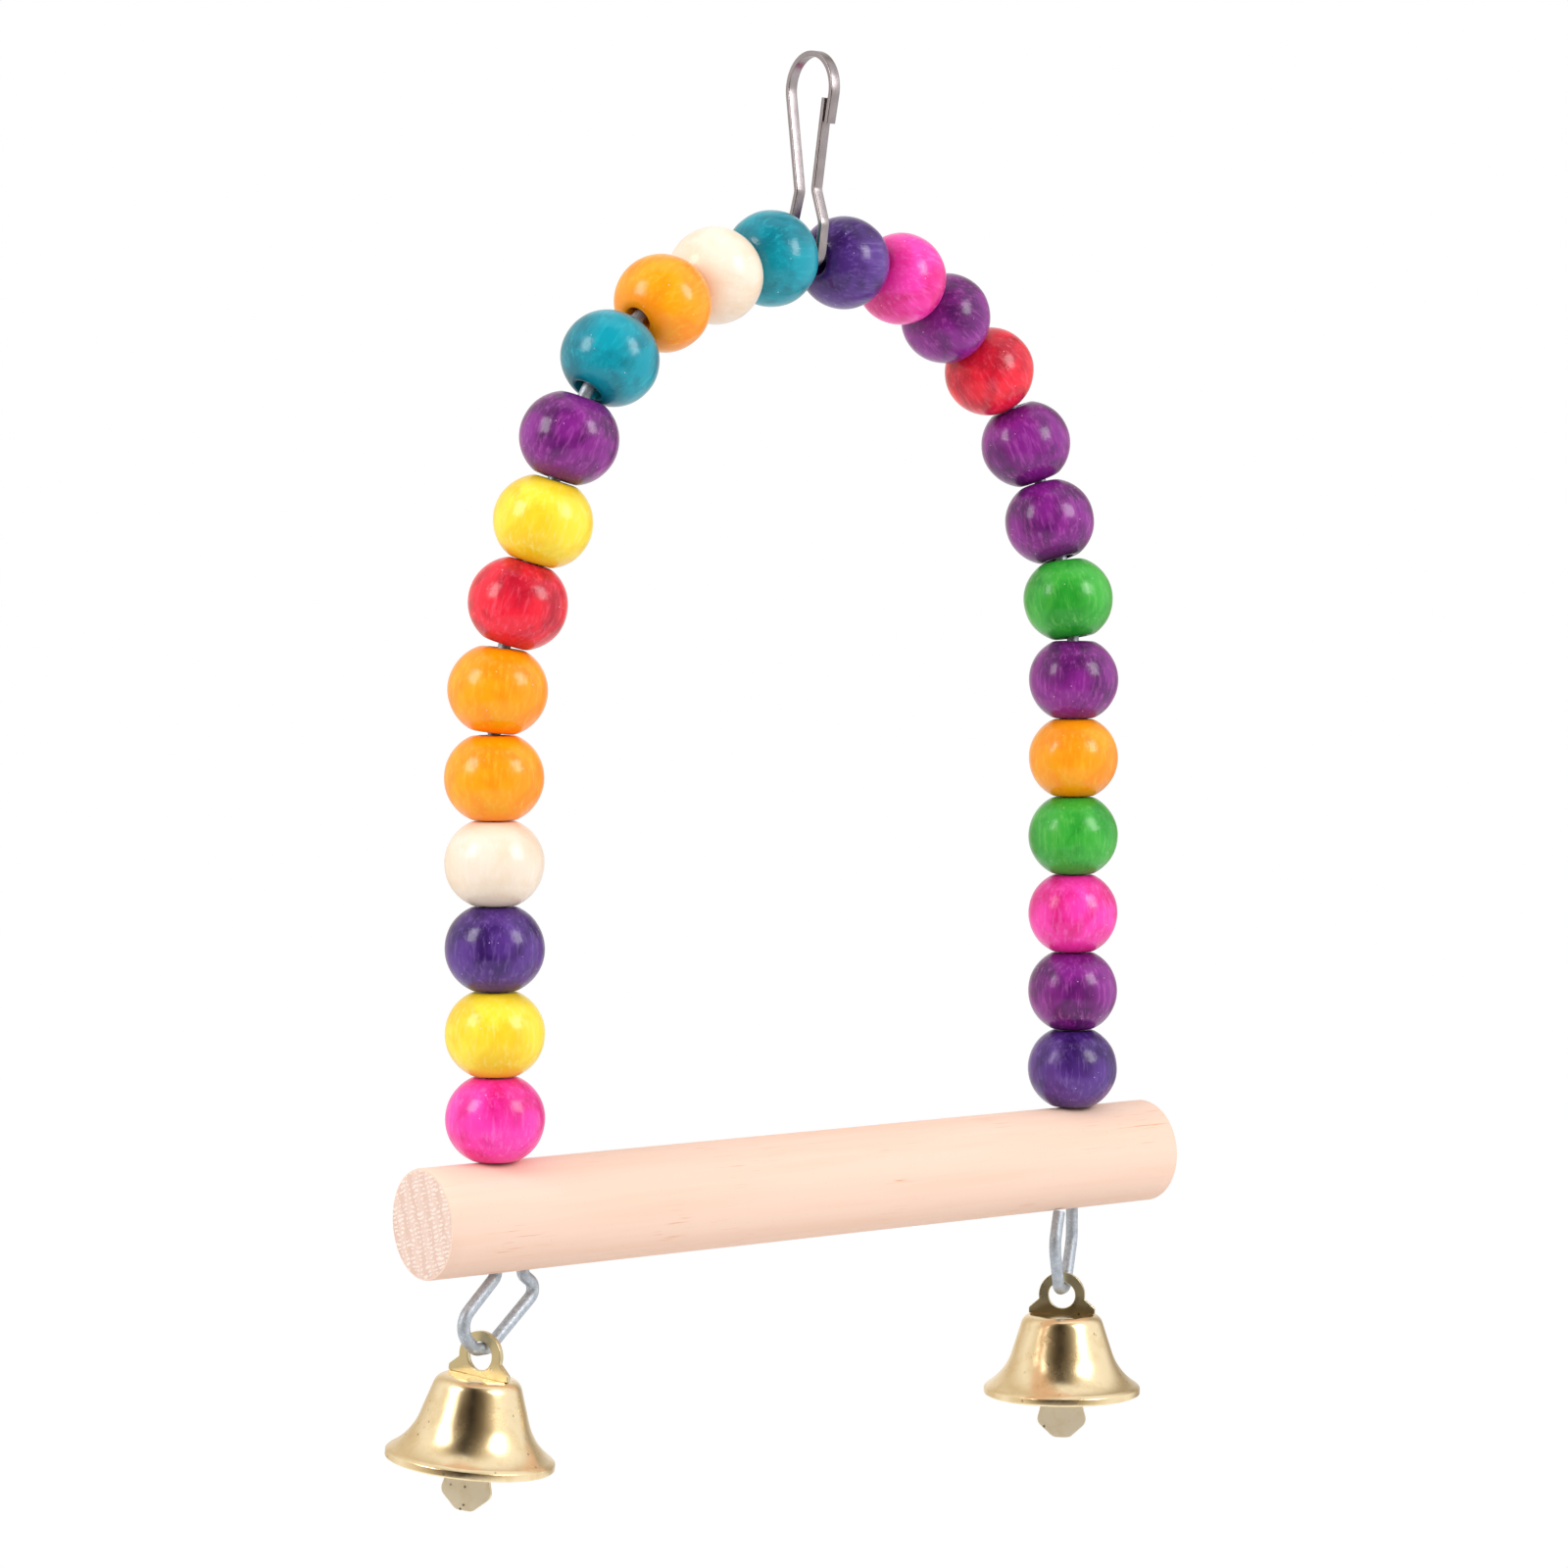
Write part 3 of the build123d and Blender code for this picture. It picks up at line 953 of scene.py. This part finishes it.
@dataclass
class SnapClip:
    """The bent strip: hook, top bend and back leg in one piece with the sprung gate."""

    width: float = 1.4
    thickness: float = 0.7
    edge: float = 0.14
    step: float = 0.5
    bend: float = 4.15
    hook_lean: float = 14.0
    hook_length: float = 3.6
    off_plumb: float = 0.95
    drop: float = 20.9
    waist: Point2 = (1.75, 8.1)
    flare: Point2 = (3.25, 3.9)
    foot_half: float = 2.4
    foot_drop: float = 1.25
    bends: tuple[float, float, float] = (1.6, 1.8, 1.8)
    gate_tip: Point2 = (4.0, -1.35)
    gate_flex: Point2 = (2.2, 1.6)

    def place(self, off: float, up: float) -> Point2:
        """A point of the strip's middle line, from the plumb line through the wire."""
        return off - self.off_plumb, up

    def leg(self, way: float) -> list[Point2]:
        """Corners of one leg of the strip, from its waist down to the middle of the foot.

        Args:
            way: 1 on the hook's open side, -1 on its back.

        Returns:
            Points towards the hook's open side and up, in millimetres.
        """
        foot = -self.drop - self.foot_drop
        return [
            self.place(way * self.waist[0], self.waist[1] - self.drop),
            self.place(way * self.flare[0], self.flare[1] - self.drop),
            self.place(way * self.foot_half, foot),
            self.place(0.0, foot),
        ]

    def hook_line(self) -> list[Point2]:
        """Middle line of the hook, the top bend and the back leg, down to the middle of the foot.

        Returns:
            Points towards the hook's open side and up, in millimetres.
        """
        middle = self.bend + self.thickness / 2
        back_leg = self.leg(-1.0)
        waist = back_leg[0]
        bearing = math.degrees(math.atan2(waist[1], waist[0])) % 360.0
        leave = bearing - math.degrees(math.acos(middle / math.hypot(*waist)))
        top = arc((0.0, 0.0), middle, -self.hook_lean, leave, steps=40)
        down = math.radians(-90.0 - self.hook_lean)
        tip = (top[0][0] + self.hook_length * math.cos(down), top[0][1] + self.hook_length * math.sin(down))
        back = rounded([top[-1], *back_leg], self.bends)
        return [tip, *top, *back[1:]]

    def gate_line(self) -> list[Point2]:
        """Middle line of the gate, from the middle of the foot to its tip.

        Returns:
            Points towards the hook's open side and up, in millimetres.
        """
        return rounded([*reversed(self.leg(1.0)), self.place(*self.gate_tip)], self.bends[::-1])

    def section(self) -> list[Point2]:
        """The strip's section, with rolled edges.

        Returns:
            Points across the strip and through it, in millimetres.
        """
        half, deep, edge = self.width / 2 - self.edge, self.thickness / 2 - self.edge, self.edge
        corners = ((half, deep, 0.0), (-half, deep, 90.0), (-half, -deep, 180.0), (half, -deep, 270.0))
        return [p for x, y, turn in corners for p in arc((x, y), edge, turn, turn + 90.0, steps=4)]

    def strip(self, name: str, line: Sequence[Point2], finish: Material) -> Piece:
        """Runs the section along a line.

        Args:
            name: the piece's name.
            line: middle line, in millimetres.
            finish: the strip's material.

        Returns:
            The strip.
        """
        fine, section = stepped(line, self.step), self.section()
        points, faces = [], []
        for number, (off, up) in enumerate(fine):
            before, after = Vector(fine[max(number - 1, 0)]), Vector(fine[min(number + 1, len(fine) - 1)])
            way = (after - before).normalized()
            for across, through in section:
                points.append(Vector((across, -(off - way.y * through), up + way.x * through)) * MM)
        ring = len(section)
        for number in range(len(fine) - 1):
            for step in range(ring):
                a, b = number * ring + step, number * ring + (step + 1) % ring
                faces.append([a, b, b + ring, a + ring])
        faces.append(list(reversed(range(ring))))
        faces.append(list(range(len(points) - ring, len(points))))
        return make_piece(name, points, faces, [finish], sharp_deg=40.0)

    def build(self) -> list[Piece]:
        """Makes the strip in two lengths that meet under the wire.

        Returns:
            The hook with the back leg, and the gate, which bends up from the foot.
        """
        finish = NickelPlate().build()
        hook = self.strip("clip_strip_hook", self.hook_line(), finish)
        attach(hook, "clip")
        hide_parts("clip_hook")
        gate = self.strip("clip_strip_gate", self.gate_line(), finish)
        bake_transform(gate)
        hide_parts("clip_gate")
        return [hook, gate]


class Side(Enum):
    """The two ends of the perch."""

    LEFT = "left"
    RIGHT = "right"


@dataclass
class Bell:
    """A bell: spun shell, stamped hanger and flat clapper, drawn from the middle of the wire it hangs on."""

    side: Side
    eye_diameter: float = 6.2
    eye_hole: float = 3.6
    eye_middle: float = -0.9
    eye_root: float = -9.66
    crown_top: float = -3.4
    shoulder_width: float = 8.9
    # Out and up from the shoulder's corner on the crown.
    shoulder_line: tuple[Point2, ...] = ((-0.1, 0.0), (0.0, 0.1), (0.0, 0.65), (-0.08, 0.84), (-0.28, 1.02))
    tang_width: float = 3.4
    tang_foot: float = -6.9
    window_width: float = 2.3
    window_heights: Point2 = (-6.2, -4.5)
    plate: float = 0.7
    plate_edge: float = 0.07
    wall: float = 0.6
    crown_diameter: float = 10.2
    crown_round: float = 1.7
    crown_plain: float = 0.3
    waist: Point2 = (13.5, 5.2)
    lip_diameter: float = 21.0
    lip_height: float = 0.9
    lip_step: float = 0.35
    lip_round: float = 0.22
    lip_ease: float = 0.1
    height: float = 10.8
    step: float = 0.45
    slack: float = 1e-6
    clapper_plate: float = 0.6
    clapper_edge: float = 0.06
    clapper_stem: float = 1.5
    clapper_turn: float = 0.0
    pivot: float = -6.55
    pivot_hole: float = 0.795
    roll_outside: Point2 = (-68.0, 240.0)
    roll_inside: Point2 = (-60.0, 230.0)
    roll_edge: float = 0.05
    neck_rise: float = 2.2
    neck_round: float = 0.4
    # Width, and drop below the lip.
    paddle: tuple[Point2, ...] = ((4.7, 0.0), (6.8, 3.9), (2.2, 6.0))
    paddle_round: float = 1.2
    segments: int = 160

    def hung_frame(self) -> Matrix:
        """The hanger plate's frame: X across the plate, Y up the bell's axis, Z out of the plate.

        Returns:
            Its matrix in the row frame.
        """
        seat, _ = joint(f"bell_{self.side.value}_swing")
        pin, across = joint(f"clapper_{self.side.value}_swing")
        up = (seat - pin).normalized()
        turn = Matrix((across, up, across.cross(up))).transposed().to_4x4()
        return Matrix.Translation(seat) @ turn

    def outer_line(self) -> list[Point2]:
        """Outside of the shell, from the crown's middle to the lip.

        Returns:
            Radius and height in millimetres.
        """
        crown, waist_r, lip_r = self.crown_diameter / 2, self.waist[0] / 2, self.lip_diameter / 2
        waist_z = self.crown_top - self.waist[1]
        foot = self.crown_top - self.height
        top = rounded(
            [(0.0, self.crown_top), (crown, self.crown_top), (waist_r, waist_z)], [self.crown_round], steps=12
        )
        start, way = Vector((waist_r, waist_z)), Vector((waist_r - crown, -self.waist[1])).normalized()
        end = Vector((lip_r - self.lip_step, foot + self.lip_height + self.lip_step))
        chord = end - start
        side = Vector((-way.y, way.x))
        radius = chord.length_squared / (2 * chord.dot(side))
        middle = start + side * radius
        first = math.degrees(math.atan2(start.y - middle.y, start.x - middle.x))
        last = math.degrees(math.atan2(end.y - middle.y, end.x - middle.x))
        flare = arc(tuple(middle), radius, first, first + math.remainder(last - first, 360.0), steps=28)
        lip = rounded(
            [tuple(end), (lip_r, foot + self.lip_height), (lip_r, foot), (lip_r - self.wall, foot)],
            [self.lip_round, self.lip_round],
            steps=6,
        )
        return [*top[:-1], *flare, *lip[1:-1]]

    def shell_profile(self) -> list[Point2]:
        """Section of the shell, from the crown's middle inside, out over the lip and back to the crown's top.

        Returns:
            Radius and height in metres.
        """
        outside = stepped(self.outer_line(), self.step)[:-1]
        foot, under = self.crown_top - self.height, self.crown_top - self.wall
        lip_r, lip_top = self.lip_diameter / 2 - self.wall, foot + self.lip_height
        lip = [(lip_r, lip_top), (lip_r, foot + self.lip_ease)]
        body = [p for p in outside if p[1] > lip_top + self.lip_step]
        inside = []
        for before, point, after in zip(body, body[1:], body[2:]):
            way = (Vector(after) - Vector(before)).normalized()
            across, up = point[0] + way.y * self.wall, point[1] - way.x * self.wall
            if up <= under + self.slack and across > self.crown_plain:
                inside.append((across, up))
        return scaled([(0.0, under), *inside, *lip, *reversed(outside)])

    def build_shell(self, finish: Material) -> Piece:
        """Spins the shell.

        Args:
            finish: the shell's material.

        Returns:
            The shell.
        """
        points, faces = turned(self.shell_profile(), self.segments, closed=False)
        upright = self.hung_frame() @ Matrix.Rotation(math.radians(-90.0), 4, "X")
        name = f"bell_shell_{self.side.value}_spun"
        return make_piece(name, [upright @ p for p in points], faces, [finish], sharp_deg=60.0)

    def build_hanger(self, finish: Material) -> Piece:
        """Stamps the hanger: eye, shoulders, and the tang with its window.

        Args:
            finish: the plate's material.

        Returns:
            The hanger.
        """
        tang, shoulder = self.tang_width / 2, self.shoulder_width / 2
        half = [
            (tang, self.tang_foot),
            (tang, self.crown_top),
            *((shoulder + out, self.crown_top + up) for out, up in self.shoulder_line),
        ]
        centre = (0.0, self.eye_middle)
        eye = arc(centre, self.eye_diameter / 2, self.eye_root, 180.0 - self.eye_root, steps=56)
        hole = arc(centre, self.eye_hole / 2, 0.0, 360.0, steps=56)[:-1]
        low, high = self.window_heights
        across = self.window_width / 2
        window = [(-across, low), (across, low), (across, high), (-across, high)]
        name = f"bell_hanger_{self.side.value}_stamped"
        outlines = [[*half, *eye, *mirrored(half)], hole, window]
        return self.place_plate(name, flat_piece(name, outlines, self.plate, self.plate_edge), finish)

    def build_clapper(self, finish: Material) -> Piece:
        """Stamps the clapper and rolls its eye round the tang's foot.

        Args:
            finish: the plate's material.

        Returns:
            The clapper.
        """
        lip = self.crown_top - self.height
        stem, middle = self.clapper_stem / 2, (0.0, 0.0)
        paddle = [(width / 2, lip - drop) for width, drop in self.paddle]
        half = rounded(
            [(stem, lip + self.neck_rise), *paddle, (0.0, paddle[-1][1])],
            [self.neck_round, self.paddle_round, self.paddle_round],
            steps=8,
        )
        top = self.pivot - self.pivot_hole - self.clapper_plate / 2
        outline = [(stem, top), *half, *mirrored(half[:-1]), (-stem, top)]
        name = f"clapper_{self.side.value}_stamped"
        stamped = flat_piece(name, [outline], self.clapper_plate, self.clapper_edge)
        ring = [
            *arc(middle, self.pivot_hole + self.clapper_plate, *self.roll_outside, steps=40),
            *reversed(arc(middle, self.pivot_hole, *self.roll_inside, steps=40)),
        ]
        rolled = flat_piece(f"{name}_eye", [ring], self.clapper_stem, self.roll_edge)
        seat = Matrix.Translation((0.0, self.pivot * MM, 0.0))
        rolled.transform(seat @ Matrix.Rotation(math.radians(90.0), 4, "Y"))
        turn = Matrix.Rotation(math.radians(self.clapper_turn), 4, "Y")
        for mesh in (stamped, rolled):
            mesh.transform(turn)
        made = self.place_plate(name, stamped, finish)
        eye = self.place_plate(f"{name}_eye", rolled, finish)
        with bpy.context.temp_override(active_object=made, selected_editable_objects=[made, eye]):
            bpy.ops.object.join()
        return made

    def place_plate(self, name: str, mesh: Mesh, finish: Material) -> Piece:
        """Puts a stamped mesh in the bell's frame.

        Args:
            name: the piece's name.
            mesh: the stamped mesh, about the hanger's plane.
            finish: its material.

        Returns:
            The piece.
        """
        mesh.transform(self.hung_frame())
        return place_mesh(name, mesh, [finish], sharp_deg=30.0)

    def build(self, brass: dict[BrassMake, Material]) -> list[Piece]:
        """Makes the bell's three pieces on their bodies.

        Args:
            brass: the material of each make.

        Returns:
            Shell, hanger and clapper.
        """
        side = self.side.value
        shell = self.build_shell(brass[BrassMake.SPUN])
        hanger = self.build_hanger(brass[BrassMake.STAMPED])
        clapper = self.build_clapper(brass[BrassMake.TUMBLED])
        for piece, body, node, slot in (
            (shell, f"bell_{side}", f"bell_shell_{side}", "bell_brass"),
            (hanger, f"bell_{side}", f"bell_hanger_{side}", "hanger_brass"),
            (clapper, f"clapper_{side}", f"clapper_{side}", "clapper_brass"),
        ):
            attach(piece, body)
            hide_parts(node)
        return [shell, hanger, clapper]


@dataclass
class ArchWire:
    """The wire, whose solid shows as it is under a zinc finish."""

    node: str = "arch_wire"

    def build(self) -> Piece:
        """Dresses the wire's solid.

        Returns:
            The wire.
        """
        wire = frame["nodes"][self.node]
        wire.data.materials.clear()
        wire.data.materials.append(GalvanisedSteel().build())
        return wire


def seen_directly(tree: Tree) -> Socket:
    """Light Path's share for the camera, gloss and glass.

    Args:
        tree: the tree to add to.

    Returns:
        A socket that is 1 for those rays.
    """
    rays = add_node(tree, "ShaderNodeLightPath").outputs
    share = rays["Is Camera Ray"]
    for ray in ("Is Glossy Ray", "Is Transmission Ray"):
        share = add_node(tree, "ShaderNodeMath", {0: share, 1: rays[ray]}, operation="MAXIMUM").outputs[0]
    return share


@dataclass(frozen=True)
class Softbox:
    """A soft lamp round the swing; its bearing is from the camera, to the right as the camera sees it."""

    name: str
    bearing: float
    distance: float
    height: float
    size: Point2
    watts: float


@dataclass(frozen=True)
class GlossWall:
    """The studio's round wall as only glossy surfaces see it: dark behind the camera, pale at the sides."""

    distance: float = 0.7
    heights: Point2 = (-0.4, 2.2)
    step: float = 3.0
    unseen_by: tuple[str, ...] = ("camera", "diffuse", "shadow", "transmission")
    stops: tuple[tuple[float, str], ...] = (
        (-180.0, "#FFFFFF"),
        (-140.0, "#D8CCB8"),
        (-100.0, "#FFFFFF"),
        (-62.0, "#DCD0BA"),
        (-32.0, "#6A5E4E"),
        (-6.0, "#17130F"),
        (20.0, "#6A5E4E"),
        (46.0, "#D8CCB4"),
        (72.0, "#FFFFFF"),
        (116.0, "#FFFFFF"),
        (142.0, "#A09480"),
        (180.0, "#FFFFFF"),
    )

    def tone(self, bearing: float) -> Vector:
        """The wall's colour at a bearing, in linear light.

        Args:
            bearing: degrees to the right of the camera.

        Returns:
            Red, green, blue and alpha.
        """
        for (start, first), (end, last) in zip(self.stops, self.stops[1:]):
            if bearing <= end:
                return Vector(linear(first)).lerp(Vector(linear(last)), (bearing - start) / (end - start))
        return Vector(linear(self.stops[-1][1]))


@dataclass
class Studio:
    """Camera, lamps, the wall that gloss shows and the pale floor."""

    eye: tuple[float, float, float] = (-0.3607, -0.4688, -0.0593)
    yaw: float = 37.22
    pitch: float = -2.85
    lens: float = 105.8
    sensor: float = 36.0
    sight: Point2 = (0.01, 50.0)
    middle: tuple[float, float, float] = (0.0, 0.001, -0.085)
    floor: float = -0.42
    floor_reach: float = 30.0
    floor_shade: float = 0.35
    world_fill: float = 0.78
    softboxes: tuple[Softbox, ...] = (
        Softbox("softbox_right", 58.0, 0.44, 0.15, (0.19, 0.25), 1.15),
        Softbox("softbox_left", -58.0, 0.44, 0.15, (0.17, 0.25), 1.0),
    )
    wall: GlossWall = GlossWall()

    def around(self, bearing: float, distance: float, height: float) -> Vector:
        """A place round the swing.

        Args:
            bearing: degrees to the right of the camera, as it sees the swing.
            distance: metres from the plumb line.
            height: metres in the row frame.

        Returns:
            The place.
        """
        turn = math.radians(self.yaw - bearing)
        return Vector((-distance * math.sin(turn), -distance * math.cos(turn), height))

    def build_camera(self) -> None:
        """Sets the camera where the photograph was taken from."""
        data = bpy.data.cameras.new("photo_camera")
        data.lens = self.lens
        data.sensor_width = self.sensor
        data.clip_start, data.clip_end = self.sight
        camera = bpy.data.objects.new("photo_camera", data)
        camera.location = self.eye
        yaw, pitch = math.radians(self.yaw), math.radians(self.pitch)
        ahead = Vector((math.sin(yaw) * math.cos(pitch), math.cos(yaw) * math.cos(pitch), math.sin(pitch)))
        camera.rotation_euler = ahead.to_track_quat("-Z", "Y").to_euler()
        bpy.context.scene.collection.objects.link(camera)
        bpy.context.scene.camera = camera

    def build_lamps(self) -> None:
        """Hangs the softboxes, each facing the swing's middle."""
        for box in self.softboxes:
            data = bpy.data.lights.new(box.name, "AREA")
            data.shape = "RECTANGLE"
            data.size, data.size_y = box.size
            data.energy = box.watts
            lamp = bpy.data.objects.new(box.name, data)
            lamp.location = self.around(box.bearing, box.distance, box.height)
            lamp.rotation_euler = (Vector(self.middle) - lamp.location).to_track_quat("-Z", "Y").to_euler()
            bpy.context.scene.collection.objects.link(lamp)

    def build_wall(self) -> None:
        """Stands the wall, which neither the camera nor the lamps' light on matt surfaces sees."""
        material, tree = empty_material("studio_wall")
        tone = add_node(tree, "ShaderNodeVertexColor", layer_name="tone").outputs["Color"]
        show(tree, add_node(tree, "ShaderNodeEmission", {"Color": tone, "Strength": 1.0}))
        steps = round(360.0 / self.wall.step)
        bearings = [-180.0 + 360.0 * i / steps for i in range(steps + 1)]
        points = [self.around(b, self.wall.distance, up) for b in bearings for up in self.wall.heights]
        faces = [[2 * i, 2 * i + 2, 2 * i + 3, 2 * i + 1] for i in range(steps)]
        made = make_piece("studio_wall", points, faces, [material])
        layer = made.data.color_attributes.new("tone", "FLOAT_COLOR", "POINT")
        for number, cell in enumerate(layer.data):
            cell.color = self.wall.tone(bearings[number // 2])
        for ray in self.wall.unseen_by:
            setattr(made, f"visible_{ray}", False)

    def build_world(self) -> None:
        """Makes the room: white where it is seen, softer where it only lights."""
        world = bpy.data.worlds.new("white_room")
        world.use_nodes = True
        tree = world.node_tree
        tree.nodes.clear()
        white = linear("#FFFFFF")
        fill, seen = (
            add_node(tree, "ShaderNodeBackground", {"Color": white, "Strength": strength}).outputs[0]
            for strength in (self.world_fill, 1.0)
        )
        mix = add_node(tree, "ShaderNodeMixShader", {0: seen_directly(tree), 1: fill, 2: seen})
        add_node(tree, "ShaderNodeOutputWorld", {"Surface": mix.outputs[0]})
        bpy.context.scene.world = world

    def build_floor(self) -> None:
        """Lays the pale floor well below the swing; it keeps a faint shadow."""
        material, tree = empty_material("pale_floor")
        shade, reach = self.floor_shade, self.floor_reach
        paper = add_node(tree, "ShaderNodeBsdfDiffuse", {"Color": linear("#F4F4F4")})
        faint = add_node(tree, "ShaderNodeBsdfDiffuse", {"Color": (shade, shade, shade, 1.0)})
        glow = add_node(tree, "ShaderNodeEmission", {"Strength": 1.0 - shade * self.world_fill})
        seen = add_node(tree, "ShaderNodeAddShader", {0: faint.outputs[0], 1: glow.outputs[0]})
        share = seen_directly(tree)
        show(tree, add_node(tree, "ShaderNodeMixShader", {0: share, 1: paper.outputs[0], 2: seen.outputs[0]}))
        corners = [(-reach, -reach), (reach, -reach), (reach, reach), (-reach, reach)]
        floor = make_piece("floor", [(x, y, self.floor) for x, y in corners], [[0, 1, 2, 3]], [material])

    def build(self) -> None:
        """Sets up the whole studio."""
        self.build_world()
        self.build_floor()
        self.build_lamps()
        self.build_wall()
        self.build_camera()
        bpy.context.scene.view_settings.view_transform = "Standard"


def main() -> None:
    """Builds the swing's looks piece by piece, then the studio."""
    logging.basicConfig(level=logging.INFO, format="%(name)s: %(message)s")
    brass = {make: Brass(make).build() for make in BrassMake}
    made = [Perch().build(), ArchWire().build(), *SnapClip().build(), *BeadString().build()]
    for bell in (Bell(Side.LEFT, clapper_turn=15.0), Bell(Side.RIGHT)):
        made += bell.build(brass)
    for piece in made:
        LOG.info("%s: %d faces", piece.name, len(piece.data.polygons))
    Studio().build()


if __name__ == "__main__":
    main()
